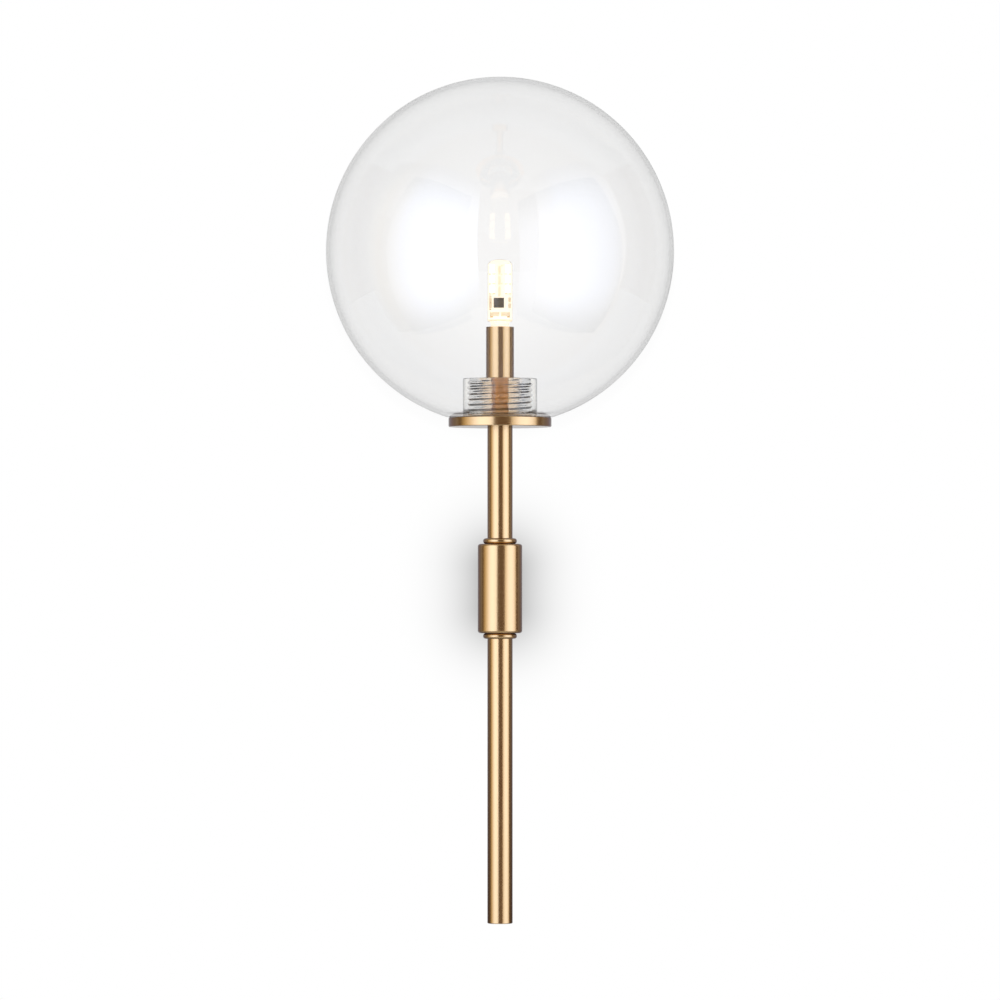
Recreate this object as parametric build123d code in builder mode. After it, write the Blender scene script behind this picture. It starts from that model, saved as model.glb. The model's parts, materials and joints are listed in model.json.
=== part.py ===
from build123d import *
import os
from math import sqrt

# Globe wall sconce, in millimetres: a clear glass ball on a slim brass stem, which a
# brass sleeve and a short arm hold in front of the wall.
# +Z is up and the wall is the plane y = 0, with the lamp on its -Y side. The origin is
# the middle of the wall strap's back face, level with the middle of the sleeve.

# ---- stem and arm -------------------------------------------------------------------
axis_out = 112.0            # stem axis in front of the wall
slip = 0.05                 # radial clearance of pieces that slip or screw into each other
sleeve_d, sleeve_length, sleeve_edge = 25.6, 51.4, 1.6
rod_d, rod_wall, rod_chamfer = 14.5, 1.0, 0.3
upper_rod_top = 92.9        # the collar's seat, above the sleeve's middle
lower_rod_end = 192.4       # below the sleeve's middle
bead_d, bead_height, bead_round = 19.5, 3.2, 1.5
hub_height = 18.0           # middle of the hub core, between the two rod ends
hub_spigot = 8.0            # length of each spigot inside a rod
hub_shaft_d, hub_sump = 8.0, 5.0    # wire shaft down the core, and its depth below the arm
rod_plug_length = 12.0
arm_d, arm_wall = 12.5, 1.0
nipple_d, nipple_bore = 10.0, 7.5
nipple_short = 2.5          # how far the arm nipple stops short of the stem axis
grub_d, grub_height, grub_sunk = 3.0, 13.0, 0.6     # behind the sleeve, over and under the arm

# ---- canopy and wall strap ----------------------------------------------------------
canopy_width, canopy_height, canopy_depth = 25.0, 47.0, 26.0
canopy_wall, canopy_round = 1.2, 2.0
strap_t, strap_margin = 2.0, 1.9       # the strap lies this far inside the canopy
tab_width, tab_depth, tab_clearance = 8.0, 8.0, 1.1
cable_hole_d = 10.0
slot_width, slot_length, slot_margin = 4.4, 9.0, 1.9
side_screw_d, side_screw_length, side_head_d, side_head_t = 3.0, 5.0, 5.0, 1.8
nut_flats, nut_t = 14.0, 4.0
nipple_past_nut = 2.0
earth_x, earth_z = 6.2, 7.2         # earth screw on the strap
earth_screw_d, earth_head_d, earth_head_t = 3.0, 5.4, 1.8
tag_t, barrel_d, barrel_bore, barrel_length, barrel_drop = 0.8, 3.0, 2.0, 4.0, 5.2
barrel_clearance = 0.2
lead_d, lead_bend = 1.9, 2.0        # insulated leads, all three alike
lead_offset = 1.3                   # of each mains lead from the middle of its pipe
lead_turn = 4.0                     # bend from the stem into the arm

# ---- terminal block -----------------------------------------------------------------
block_width, block_depth, block_height = 13.0, 10.0, 10.0
block_clearance = 2.8       # from the block's foot to the canopy's inside
block_stand = 6.3           # boss that carries the block off the canopy's front wall
block_edge = 0.6
pole_x, clamp_d, clamp_bore, clamp_short = 3.9, 3.4, 2.4, 0.6
stud_d, boss_d, stud_nut_flats, stud_nut_t = 2.5, 5.0, 5.0, 1.8
pole_screw_d, pole_screw_inset, pole_screw_sunk = 2.4, 2.8, 0.8
lead_in_block = 4.5

# ---- collar, bush and glass globe ---------------------------------------------------
collar_d, collar_t, collar_edge = 59.2, 5.3, 0.35
gasket_inner_d, gasket_outer_d, gasket_t, gasket_proud = 28.0, 41.0, 0.8, 0.2
gasket_play = 0.1
globe_d, globe_wall, globe_floor = 200.0, 2.2, 1.6
globe_base_d = 60.6         # the base ground flat on the ball
globe_foot_round = 0.8
neck_d, neck_height, neck_bore = 42.6, 22.4, 23.4
neck_fillet, neck_lip = 1.5, 0.7
thread_clearance = 0.1      # radial play of the glass on the bush
bush_wall, bush_roof, bush_lead_in = 1.6, 2.4, 0.6
rod_insert_length = 12.0
nipple_in_rod = 10.0

# ---- lamp tube and lampholder -------------------------------------------------------
tube_d, tube_wall, tube_floor, tube_length = 16.0, 0.8, 3.0, 29.5
ring_nut_d, ring_nut_t = 13.8, 2.5
holder_play, holder_below_rim, holder_edge = 0.25, 1.0, 0.4
snap_ring_t, snap_ring_width, snap_ring_gap = 0.6, 0.7, 4.0
recess_length, recess_width, recess_depth = 12.0, 7.0, 5.0
chamber_length = 3.0
cavity_length, cavity_width, cavity_height = 11.6, 5.0, 5.5
pin_spacing, pin_loop_width, pin_wire, pin_length = 9.0, 2.0, 0.7, 9.7
clip_leaf, clip_width, clip_gap = 0.3, 2.4, 0.05
clip_above_cavity, clip_below_recess = 1.2, 0.8

# ---- lamp capsule -------------------------------------------------------------------
plug_length, plug_width, plug_play = 11.4, 6.4, 0.3
base_width, base_depth, base_round, base_height = 10.4, 8.4, 2.5, 3.1
capsule_d, capsule_height, capsule_wall = 14.2, 35.9, 1.1
capsule_crown, capsule_corner = 1.6, 3.2
board_width, board_t, board_headroom, board_corner = 10.8, 1.0, 3.0, 1.5
led_width, led_height, led_t, led_pitch = 2.6, 5.0, 0.7, 5.65
led_rows, led_x, led_first = 3, 3.65, 17.6    # the lowest row's middle, above the board's foot
chip_width, chip_height, chip_t, chip_x, chip_z = 4.4, 5.7, 1.6, -0.5, 9.6
resistor_width, resistor_height, resistor_t, resistor_x = 1.4, 2.9, 0.6, 4.4
resistor_heights = (7.9, 11.3)
fuse_width, fuse_height, fuse_t, fuse_x, fuse_z = 4.2, 2.4, 1.2, 2.5, 3.0

# ---- worked out from the sizes above ------------------------------------------------
stem_axis = Axis((0, -axis_out, 0), (0, 0, 1))
stem_profile = Plane.XZ.offset(axis_out)      # x from the stem axis, y is the height
rod_bore = rod_d - 2 * rod_wall
nipple_hole = nipple_d + 2 * slip             # every hole that a nipple passes
hub_d = rod_d - 2 * slip
collar_top = upper_rod_top + collar_t
groove_floor = collar_top + gasket_proud - gasket_t
globe_base = collar_top + gasket_proud
globe_r = globe_d / 2
globe_flat = sqrt(globe_r**2 - (globe_base_d / 2) ** 2)
globe_centre = globe_base + globe_flat
neck_top = globe_base + neck_height
bush_d = neck_bore - 2 * thread_clearance
tube_foot = neck_top                          # the lamp tube stands level with the neck
tube_top = tube_foot + tube_length
tube_bore = tube_d - 2 * tube_wall
ring_nut_foot = tube_foot + tube_floor
ring_nut_top = ring_nut_foot + ring_nut_t
holder_d = tube_bore - 2 * holder_play
holder_top = tube_top - holder_below_rim
recess_floor = holder_top - recess_depth
chamber_width = lead_d + 2 * slip             # a lead comes up into each chamber
clip_foot = ring_nut_top + cavity_height + clip_above_cavity
clip_top = recess_floor - clip_below_recess
clip_inside = pin_wire / 2 + clip_gap
plug_foot = recess_floor + plug_play
plug_top = holder_top + snap_ring_t + plug_play
base_top = tube_top + base_height
capsule_top = base_top + capsule_height
capsule_bore = capsule_d - 2 * capsule_wall
board_foot = base_top + capsule_wall
board_top = capsule_top - board_headroom
canopy_inside = canopy_depth - canopy_wall    # depth of the front wall's inner face
nut_seat = canopy_inside - tag_t
strap_width = canopy_width - 2 * (canopy_wall + strap_margin)
strap_height = canopy_height - 2 * (canopy_wall + strap_margin)
slot_spacing = strap_height - slot_length - 2 * slot_margin
nipple_end = nut_seat - nut_t - nipple_past_nut
tab_outside = canopy_height / 2 - canopy_wall - tab_clearance
tab_middle = (tab_depth + strap_t) / 2
tag_reach = (nut_flats / sqrt(3) + barrel_d / 2 + barrel_clearance) / sqrt(2)
block_front = canopy_inside - block_stand     # face of the block towards the room
block_back = block_front - block_depth        # face of the block towards the wall
block_top = block_height + block_clearance + canopy_wall - canopy_height / 2
block_middle = block_top - block_height / 2
pole_depth = (block_front + block_back) / 2


def level(height):
    """A horizontal plane on the stem axis."""
    return Plane((0, -axis_out, height))


def from_wall(depth):
    """A plane that faces the room, this far in front of the wall."""
    return Plane.XZ.offset(depth)


def turned(*corners):
    """A turned piece, from the corners of its half profile round the stem axis."""
    with BuildPart() as blank:
        with BuildSketch(stem_profile):
            with BuildLine():
                Polyline(*corners, close=True)
            make_face()
        revolve(axis=stem_axis)
    return blank


def plain_tube(plane, outer_d, inner_d, length):
    """A plain tube or ring that stands on a plane."""
    with BuildPart() as ring:
        with BuildSketch(plane):
            Circle(outer_d / 2)
            Circle(inner_d / 2, mode=Mode.SUBTRACT)
        extrude(amount=length)
    return ring


def insulated_lead(points, radii):
    """A lead of round section along straight runs and tangent arcs."""
    with BuildPart() as wire:
        with BuildLine() as route:
            FilletPolyline(*points, radius=radii)
        with BuildSketch(Plane(route.line @ 0, z_dir=route.line % 0)):
            Circle(lead_d / 2)
        sweep()
    return wire


# ---- wall strap: bent steel plate, screwed to the wall through its two slots ---------
with BuildPart() as wall_strap:
    with BuildSketch(from_wall(0)):
        SlotOverall(strap_height, strap_width, rotation=90)
        Circle(cable_hole_d / 2, mode=Mode.SUBTRACT)
        with Locations((0, slot_spacing / 2), (0, -slot_spacing / 2)):
            SlotOverall(slot_length, slot_width, rotation=90, mode=Mode.SUBTRACT)
        with Locations((earth_x, earth_z)):
            Circle(earth_screw_d / 2 + slip, mode=Mode.SUBTRACT)
    extrude(amount=strap_t)
    with BuildSketch(from_wall(0)):
        with Locations((0, tab_outside - strap_t / 2), (0, strap_t / 2 - tab_outside)):
            Rectangle(tab_width, strap_t)
    extrude(amount=tab_depth)
    with BuildSketch(Plane.XY.offset(-canopy_height)):
        with Locations((0, -tab_middle)):
            Circle(side_screw_d / 2 + slip)
    extrude(amount=2 * canopy_height, mode=Mode.SUBTRACT)

# ---- canopy: drawn brass cup with an oblong face, open to the wall -------------------
with BuildPart() as canopy:
    with BuildSketch(from_wall(0)):
        SlotOverall(canopy_height, canopy_width, rotation=90)
    extrude(amount=canopy_depth)
    fillet(canopy.faces().sort_by(Axis.Y)[0].edges(), canopy_round)
    offset(amount=-canopy_wall, openings=canopy.faces().sort_by(Axis.Y)[-1])
    with BuildSketch(from_wall(canopy_inside - canopy_wall)):
        Circle(nipple_hole / 2)
    extrude(amount=3 * canopy_wall, mode=Mode.SUBTRACT)
    with BuildSketch(Plane.XY.offset(-canopy_height)):
        with Locations((0, -tab_middle)):
            Circle(side_screw_d / 2 + slip)
    extrude(amount=2 * canopy_height, mode=Mode.SUBTRACT)
    # a boss and its stud carry the terminal block, under the arm's nut
    with BuildSketch(from_wall(block_front)):
        with Locations((0, block_middle)):
            Circle(boss_d / 2)
    extrude(amount=block_stand + canopy_wall / 2)
    with BuildSketch(from_wall(block_back - stud_nut_t)):
        with Locations((0, block_middle)):
            Circle(stud_d / 2)
    extrude(amount=stud_nut_t + block_depth + block_stand / 2)

# Two pan-head screws fix the canopy to the strap's tabs, from above and from below.
with BuildPart() as canopy_screws:
    for side in (1, -1):
        seat = Plane((0, -tab_middle, side * canopy_height / 2), z_dir=(0, 0, side))
        with BuildSketch(seat):
            Circle(side_head_d / 2)
        extrude(amount=side_head_t)
        with BuildSketch(seat):
            Circle(side_screw_d / 2)
        extrude(amount=-side_screw_length)
    rims = canopy_screws.edges().filter_by(GeomType.CIRCLE).group_by(Axis.Z)
    fillet(rims[0] + rims[-1], side_head_t / 3)

# ---- arm: a tube coped to the sleeve, and the hollow nipple that pulls it tight ------
with BuildPart() as arm_tube:
    with BuildSketch(from_wall(canopy_depth)):
        Circle(arm_d / 2)
        Circle(arm_d / 2 - arm_wall, mode=Mode.SUBTRACT)
    extrude(amount=axis_out - canopy_depth)
    with BuildSketch(level(-arm_d)):
        Circle(sleeve_d / 2)
    extrude(amount=2 * arm_d, mode=Mode.SUBTRACT)

arm_nipple = plain_tube(from_wall(nipple_end), nipple_d, nipple_bore,
                        axis_out - nipple_short - nipple_end)

with BuildPart() as arm_nut:
    with BuildSketch(from_wall(nut_seat - nut_t)):
        RegularPolygon(nut_flats / 2, 6, major_radius=False)
        Circle(nipple_hole / 2, mode=Mode.SUBTRACT)
    extrude(amount=nut_t)

# ---- earth: a tag under the nut, a tag on the strap, each with a crimp barrel --------
with BuildPart() as earth_tags:
    with BuildSketch(from_wall(nut_seat)):
        Circle(nut_flats / 2)
        with Locations((tag_reach, tag_reach)):
            Circle(barrel_d / 2)
        make_hull()
        Circle(nipple_hole / 2, mode=Mode.SUBTRACT)
    extrude(amount=tag_t)
    with BuildSketch(from_wall(nut_seat)):
        with Locations((tag_reach, tag_reach)):
            Circle(barrel_d / 2)
            Circle(barrel_bore / 2, mode=Mode.SUBTRACT)
    extrude(amount=-barrel_length)
    with BuildSketch(from_wall(strap_t)):
        with Locations((earth_x, earth_z)):
            Circle(earth_head_d / 2)
        with Locations((earth_x, earth_z - barrel_drop)):
            Circle(barrel_d / 2)
        make_hull()
        with Locations((earth_x, earth_z)):
            Circle(earth_screw_d / 2 + slip, mode=Mode.SUBTRACT)
    extrude(amount=tag_t)
    with BuildSketch(from_wall(strap_t + tag_t)):
        with Locations((earth_x, earth_z - barrel_drop)):
            Circle(barrel_d / 2)
            Circle(barrel_bore / 2, mode=Mode.SUBTRACT)
    extrude(amount=barrel_length)

with BuildPart() as earth_screw:
    with BuildSketch(from_wall(0)):
        with Locations((earth_x, earth_z)):
            Circle(earth_screw_d / 2)
    extrude(amount=strap_t + tag_t)
    with BuildSketch(from_wall(strap_t + tag_t)):
        with Locations((earth_x, earth_z)):
            Circle(earth_head_d / 2)
    extrude(amount=earth_head_t)

crimp = tag_t + lead_d      # the lead ends this far inside each barrel's far end
earth_lead = insulated_lead(
    [
        (tag_reach, crimp - nut_seat, tag_reach),
        (tag_reach, barrel_length + lead_bend - nut_seat, tag_reach),
        (earth_x, -strap_t - barrel_length - 2 * lead_bend, earth_z - barrel_drop),
        (earth_x, -strap_t - crimp, earth_z - barrel_drop),
    ],
    lead_bend,
)

# ---- terminal block: two poles for the mains, on the canopy's stud -------------------
with BuildPart() as terminal_block:
    with BuildSketch(from_wall(block_back)):
        with Locations((0, block_middle)):
            RectangleRounded(block_width, block_height, block_edge)
            Circle(stud_d / 2 + slip, mode=Mode.SUBTRACT)
    extrude(amount=block_depth)
    with BuildSketch(Plane.XY.offset(block_top)):
        with Locations((pole_x, -pole_depth), (-pole_x, -pole_depth)):
            Circle(clamp_d / 2)
    extrude(amount=-block_height, mode=Mode.SUBTRACT)
    with BuildSketch(from_wall(block_back)):
        with Locations((0, block_middle)):
            with GridLocations(2 * pole_x, block_height - 2 * pole_screw_inset, 2, 2):
                Circle(pole_screw_d / 2 + slip)
    extrude(amount=block_depth / 2, mode=Mode.SUBTRACT)

with BuildPart() as terminal_clamps:
    with BuildSketch(Plane.XY.offset(block_top - clamp_short)):
        with Locations((pole_x, -pole_depth), (-pole_x, -pole_depth)):
            Circle(clamp_d / 2 - slip)
            Circle(clamp_bore / 2, mode=Mode.SUBTRACT)
    extrude(amount=2 * clamp_short - block_height)
    with BuildSketch(from_wall(block_back)):
        with Locations((0, block_middle)):
            with GridLocations(2 * pole_x, block_height - 2 * pole_screw_inset, 2, 2):
                Circle(pole_screw_d / 2 + slip)
    extrude(amount=block_depth / 2, mode=Mode.SUBTRACT)

with BuildPart() as terminal_screws:
    with BuildSketch(from_wall(block_back + pole_screw_sunk)):
        with Locations((0, block_middle)):
            with GridLocations(2 * pole_x, block_height - 2 * pole_screw_inset, 2, 2):
                Circle(pole_screw_d / 2)
    extrude(amount=block_depth / 2 - pole_screw_sunk - lead_d / 2 - slip)

with BuildPart() as stud_nut:
    with BuildSketch(from_wall(block_back - stud_nut_t)):
        with Locations((0, block_middle)):
            RegularPolygon(stud_nut_flats / 2, 6, major_radius=False)
            Circle(stud_d / 2 + slip, mode=Mode.SUBTRACT)
    extrude(amount=stud_nut_t)

# ---- sleeve, beads, hub core and the two rods ----------------------------------------
with BuildPart() as sleeve:
    with BuildSketch(level(-sleeve_length / 2)):
        Circle(sleeve_d / 2)
    extrude(amount=sleeve_length)
    fillet(sleeve.edges().filter_by(GeomType.CIRCLE), sleeve_edge)
    with BuildSketch(level(-sleeve_length / 2)):
        Circle(rod_d / 2 + slip)
    extrude(amount=sleeve_length, mode=Mode.SUBTRACT)
    with BuildSketch(from_wall(axis_out - sleeve_d)):
        Circle(nipple_hole / 2)
        with Locations((0, grub_height), (0, -grub_height)):
            Circle(grub_d / 2 + slip)
    extrude(amount=sleeve_d, mode=Mode.SUBTRACT)


def bead(foot):
    """A half-round ring on the rod, against one end of the sleeve."""
    with BuildPart() as ring:
        with BuildSketch(level(foot)):
            Circle(bead_d / 2)
            Circle(rod_d / 2 + slip, mode=Mode.SUBTRACT)
        extrude(amount=bead_height)
        fillet(ring.edges().filter_by(GeomType.CIRCLE).group_by(SortBy.RADIUS)[-1], bead_round)
    return ring


upper_bead = bead(sleeve_length / 2)
lower_bead = bead(-sleeve_length / 2 - bead_height)

# The core joins the rods on its spigots and turns the leads from the arm up the stem.
core_blank = turned(
    (0, -hub_height / 2 - hub_spigot),
    (rod_bore / 2 - slip, -hub_height / 2 - hub_spigot),
    (rod_bore / 2 - slip, -hub_height / 2),
    (hub_d / 2, -hub_height / 2),
    (hub_d / 2, hub_height / 2),
    (rod_bore / 2 - slip, hub_height / 2),
    (rod_bore / 2 - slip, hub_height / 2 + hub_spigot),
    (hub_shaft_d / 2, hub_height / 2 + hub_spigot),
    (hub_shaft_d / 2, -hub_sump),
    (0, -hub_sump),
)
with BuildPart() as hub_core:
    add(core_blank.part)
    with BuildSketch(from_wall(axis_out - hub_d)):
        Circle(nipple_hole / 2)
    extrude(amount=hub_d - nipple_short, mode=Mode.SUBTRACT)

with BuildPart() as rod_grub_screws:
    with BuildSketch(from_wall(axis_out - sleeve_d / 2 + grub_sunk)):
        with Locations((0, grub_height), (0, -grub_height)):
            Circle(grub_d / 2)
    extrude(amount=sleeve_d / 2 - grub_sunk - rod_d / 2 - slip)

upper_rod = plain_tube(level(hub_height / 2), rod_d, rod_bore, upper_rod_top - hub_height / 2)
with BuildPart() as lower_rod:
    with BuildSketch(level(-lower_rod_end)):
        Circle(rod_d / 2)
        Circle(rod_bore / 2, mode=Mode.SUBTRACT)
    extrude(amount=lower_rod_end - hub_height / 2)
    foot_rim = lower_rod.edges().filter_by(GeomType.CIRCLE).group_by(Axis.Z)[0]
    chamfer(foot_rim.sort_by(SortBy.RADIUS)[-1], rod_chamfer)

with BuildPart() as lower_rod_plug:
    with BuildSketch(level(-lower_rod_end)):
        Circle(rod_bore / 2 - slip)
    extrude(amount=rod_plug_length)

upper_rod_insert = plain_tube(level(upper_rod_top - rod_insert_length),
                              rod_bore - 2 * slip, nipple_hole, rod_insert_length)

# ---- collar, gasket, clear threaded bush and the nipple through them -----------------
with BuildPart() as collar:
    with BuildSketch(level(upper_rod_top)):
        Circle(collar_d / 2)
        Circle(nipple_hole / 2, mode=Mode.SUBTRACT)
    extrude(amount=collar_t)
    chamfer(collar.edges().filter_by(GeomType.CIRCLE).group_by(SortBy.RADIUS)[-1], collar_edge)
    with BuildSketch(level(groove_floor)):
        Circle(gasket_outer_d / 2 + gasket_play)
        Circle(gasket_inner_d / 2 - gasket_play, mode=Mode.SUBTRACT)
    extrude(amount=gasket_t, mode=Mode.SUBTRACT)

globe_gasket = plain_tube(level(groove_floor), gasket_outer_d, gasket_inner_d, gasket_t)

# An upturned cup of clear polycarbonate, which the globe's neck screws on to.
neck_bush = turned(
    (bush_d / 2 - bush_wall, collar_top),
    (bush_d / 2, collar_top),
    (bush_d / 2, tube_foot - bush_lead_in),
    (bush_d / 2 - bush_lead_in, tube_foot),
    (nipple_hole / 2, tube_foot),
    (nipple_hole / 2, tube_foot - bush_roof),
    (bush_d / 2 - bush_wall, tube_foot - bush_roof),
)

lamp_nipple = plain_tube(level(upper_rod_top - nipple_in_rod), nipple_d, nipple_bore,
                         ring_nut_top - upper_rod_top + nipple_in_rod)

# ---- glass globe: a blown ball with a ground base and a thick re-entrant neck --------
inside_r = globe_r - globe_wall
foot_r = globe_base_d / 2
floor_r = sqrt(inside_r**2 - (globe_flat - globe_floor) ** 2)
with BuildPart() as globe:
    with BuildSketch(stem_profile) as glass:
        with BuildLine():
            Line((neck_bore / 2, globe_base), (foot_r, globe_base))
            ThreePointArc((foot_r, globe_base), (globe_r, globe_centre), (0, globe_centre + globe_r))
            Line((0, globe_centre + globe_r), (0, globe_centre + inside_r))
            ThreePointArc((0, globe_centre + inside_r), (inside_r, globe_centre),
                          (floor_r, globe_base + globe_floor))
            Polyline(
                (floor_r, globe_base + globe_floor),
                (neck_d / 2, globe_base + globe_floor),
                (neck_d / 2, neck_top),
                (neck_bore / 2, neck_top),
                (neck_bore / 2, globe_base),
            )
        make_face()
        for corner, radius in (
            ((foot_r, globe_base), globe_foot_round),
            ((neck_d / 2, globe_base + globe_floor), neck_fillet),
            ((neck_d / 2, neck_top), neck_lip),
            ((neck_bore / 2, neck_top), neck_lip),
            ((neck_bore / 2, globe_base), neck_lip),
        ):
            fillet(glass.vertices().sort_by_distance(corner)[0], radius)
    revolve(axis=stem_axis)

# ---- lamp tube and the ceramic lampholder inside it ----------------------------------
lamp_tube = turned(
    (nipple_hole / 2, tube_foot),
    (tube_d / 2, tube_foot),
    (tube_d / 2, tube_top),
    (tube_bore / 2, tube_top),
    (tube_bore / 2, ring_nut_foot),
    (nipple_hole / 2, ring_nut_foot),
)

lamp_ring_nut = plain_tube(level(ring_nut_foot), ring_nut_d, nipple_hole, ring_nut_t)

pins = [(pin_spacing / 2, 0), (-pin_spacing / 2, 0)]
with BuildPart() as lampholder_body:
    with BuildSketch(level(ring_nut_top)):
        Circle(holder_d / 2)
    extrude(amount=holder_top - ring_nut_top)
    chamfer(lampholder_body.edges().filter_by(GeomType.CIRCLE), holder_edge)
    with BuildSketch(level(recess_floor)):
        SlotOverall(recess_length, recess_width)
    extrude(amount=recess_depth, mode=Mode.SUBTRACT)
    with BuildSketch(level(ring_nut_top)):
        SlotOverall(cavity_length, cavity_width)
    extrude(amount=cavity_height, mode=Mode.SUBTRACT)
    with BuildSketch(level(ring_nut_top)):
        with Locations(*pins):
            Rectangle(chamber_length, chamber_width)
    extrude(amount=holder_top - ring_nut_top, mode=Mode.SUBTRACT)

# Each contact is a spring clip of two leaves, which pinch one pin of the capsule.
with BuildPart() as lampholder_contacts:
    with BuildSketch(level(clip_foot)):
        with Locations(*pins):
            Rectangle(clip_width, 2 * (clip_inside + clip_leaf))
    extrude(amount=clip_top - clip_foot)
    with BuildSketch(level(clip_foot + clip_leaf)):
        with Locations(*pins):
            Rectangle(clip_width, 2 * clip_inside)
    extrude(amount=clip_top - clip_foot, mode=Mode.SUBTRACT)

with BuildPart() as holder_snap_ring:
    with BuildSketch(level(holder_top)):
        Circle(tube_bore / 2 - slip)
        Circle(tube_bore / 2 - slip - snap_ring_width, mode=Mode.SUBTRACT)
        with Locations((0, tube_bore / 2)):
            Rectangle(snap_ring_gap, tube_bore / 2, mode=Mode.SUBTRACT)
    extrude(amount=snap_ring_t)

# ---- mains leads: from the contacts down the stem, through the arm, to the block -----
mains_leads = []
for side in (1, -1):
    mains_leads.append(insulated_lead(
        [
            (side * pin_spacing / 2, -axis_out, clip_foot),
            (side * pin_spacing / 2, -axis_out, ring_nut_top + cavity_height / 2),
            (side * lead_offset, -axis_out, ring_nut_top - lead_bend),
            (side * lead_offset, -axis_out, 0),
            (side * lead_offset, -pole_depth, 0),
            (side * pole_x, -pole_depth, block_top + lead_d),
            (side * pole_x, -pole_depth, block_top - lead_in_block),
        ],
        [lead_bend, lead_bend, lead_turn, lead_bend, lead_bend],
    ))
live_lead, neutral_lead = mains_leads

# ---- lamp capsule: base, pins, board, LEDs and parts under a clear silicone cover ----
with BuildPart() as capsule_base:
    with BuildSketch(level(plug_foot)):
        SlotOverall(plug_length, plug_width)
    extrude(amount=plug_top - plug_foot)
    with BuildSketch(level(plug_top)):
        RectangleRounded(base_width, base_depth, base_round)
    extrude(amount=base_top - plug_top)
    with BuildSketch(level(base_top)):
        Circle(capsule_bore / 2 - slip)
    extrude(amount=capsule_wall)

with BuildPart() as capsule_pins:
    with BuildSketch(stem_profile):
        with Locations((pin_spacing / 2, plug_foot), (-pin_spacing / 2, plug_foot)):
            SlotOverall(2 * pin_length, pin_loop_width, rotation=90)
            SlotOverall(2 * (pin_length - pin_wire), pin_loop_width - 2 * pin_wire,
                        rotation=90, mode=Mode.SUBTRACT)
        with Locations((0, plug_foot + pin_length)):
            Rectangle(2 * pin_spacing, 2 * pin_length, mode=Mode.SUBTRACT)
    extrude(amount=pin_wire / 2, both=True)

crown_r = ((capsule_d / 2) ** 2 + capsule_crown**2) / (2 * capsule_crown)
crown_middle = capsule_top - crown_r + sqrt(crown_r**2 - (capsule_d / 4) ** 2)
with BuildPart() as capsule_envelope:
    with BuildSketch(stem_profile) as dome:
        with BuildLine():
            Polyline((0, capsule_top), (0, base_top), (capsule_d / 2, base_top),
                     (capsule_d / 2, capsule_top - capsule_crown))
            ThreePointArc((capsule_d / 2, capsule_top - capsule_crown),
                          (capsule_d / 4, crown_middle), (0, capsule_top))
        make_face()
        shoulder = (capsule_d / 2, capsule_top - capsule_crown)
        fillet(dome.vertices().sort_by_distance(shoulder)[0], capsule_corner)
    revolve(axis=stem_axis)
    offset(amount=-capsule_wall, openings=capsule_envelope.faces().sort_by(Axis.Z)[0])

with BuildPart() as capsule_board:
    with BuildSketch(from_wall(axis_out - board_t / 2)):
        with Locations((0, (board_foot + board_top) / 2)):
            board = Rectangle(board_width, board_top - board_foot)
        chamfer(board.vertices().group_by(Axis.Y)[-1], board_corner)
    extrude(amount=board_t)


def on_board(side):
    """A face of the board, its origin at the foot: the room's side, 1, or the wall's, -1."""
    return Plane((0, -axis_out - side * board_t / 2, board_foot), x_dir=(1, 0, 0), z_dir=(0, -side, 0))


led_rows_middle = led_first + (led_rows - 1) * led_pitch / 2
with BuildPart() as capsule_leds:
    for side in (1, -1):
        with BuildSketch(on_board(side)):
            with Locations((0, side * led_rows_middle)):
                with GridLocations(2 * led_x, led_pitch, 2, led_rows):
                    Rectangle(led_width, led_height)
        extrude(amount=led_t)

with BuildPart() as capsule_chip:
    with BuildSketch(on_board(1)):
        with Locations((chip_x, chip_z)):
            Rectangle(chip_width, chip_height)
    extrude(amount=chip_t)

with BuildPart() as capsule_components:
    with BuildSketch(on_board(1)):
        for x in (resistor_x, -resistor_x):
            for height in resistor_heights:
                with Locations((x, height)):
                    Rectangle(resistor_width, resistor_height)
    extrude(amount=resistor_t)
    with BuildSketch(on_board(1)):
        with Locations((fuse_x, fuse_z), (-fuse_x, fuse_z)):
            Rectangle(fuse_width, fuse_height)
    extrude(amount=fuse_t)

# ---- one named STEP file for each piece ----------------------------------------------
pieces = {
    "wall_strap": wall_strap,
    "canopy": canopy,
    "canopy_screws": canopy_screws,
    "arm_tube": arm_tube,
    "arm_nipple": arm_nipple,
    "arm_nut": arm_nut,
    "earth_tags": earth_tags,
    "earth_screw": earth_screw,
    "earth_lead": earth_lead,
    "terminal_block": terminal_block,
    "terminal_clamps": terminal_clamps,
    "terminal_screws": terminal_screws,
    "terminal_stud_nut": stud_nut,
    "sleeve": sleeve,
    "upper_bead": upper_bead,
    "lower_bead": lower_bead,
    "hub_core": hub_core,
    "rod_grub_screws": rod_grub_screws,
    "upper_rod": upper_rod,
    "lower_rod": lower_rod,
    "lower_rod_plug": lower_rod_plug,
    "upper_rod_insert": upper_rod_insert,
    "collar": collar,
    "globe_gasket": globe_gasket,
    "neck_bush": neck_bush,
    "lamp_nipple": lamp_nipple,
    "globe": globe,
    "lamp_tube": lamp_tube,
    "lamp_ring_nut": lamp_ring_nut,
    "lampholder_body": lampholder_body,
    "lampholder_contacts": lampholder_contacts,
    "holder_snap_ring": holder_snap_ring,
    "live_lead": live_lead,
    "neutral_lead": neutral_lead,
    "capsule_base": capsule_base,
    "capsule_pins": capsule_pins,
    "capsule_envelope": capsule_envelope,
    "capsule_board": capsule_board,
    "capsule_leds": capsule_leds,
    "capsule_chip": capsule_chip,
    "capsule_components": capsule_components,
}
os.makedirs("parts", exist_ok=True)
for node, piece in pieces.items():
    piece.part.label = node
    export_step(piece.part, f"parts/{node}.step")
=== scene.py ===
import json
import math

import bmesh
import bpy
from mathutils import Matrix, Vector


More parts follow.
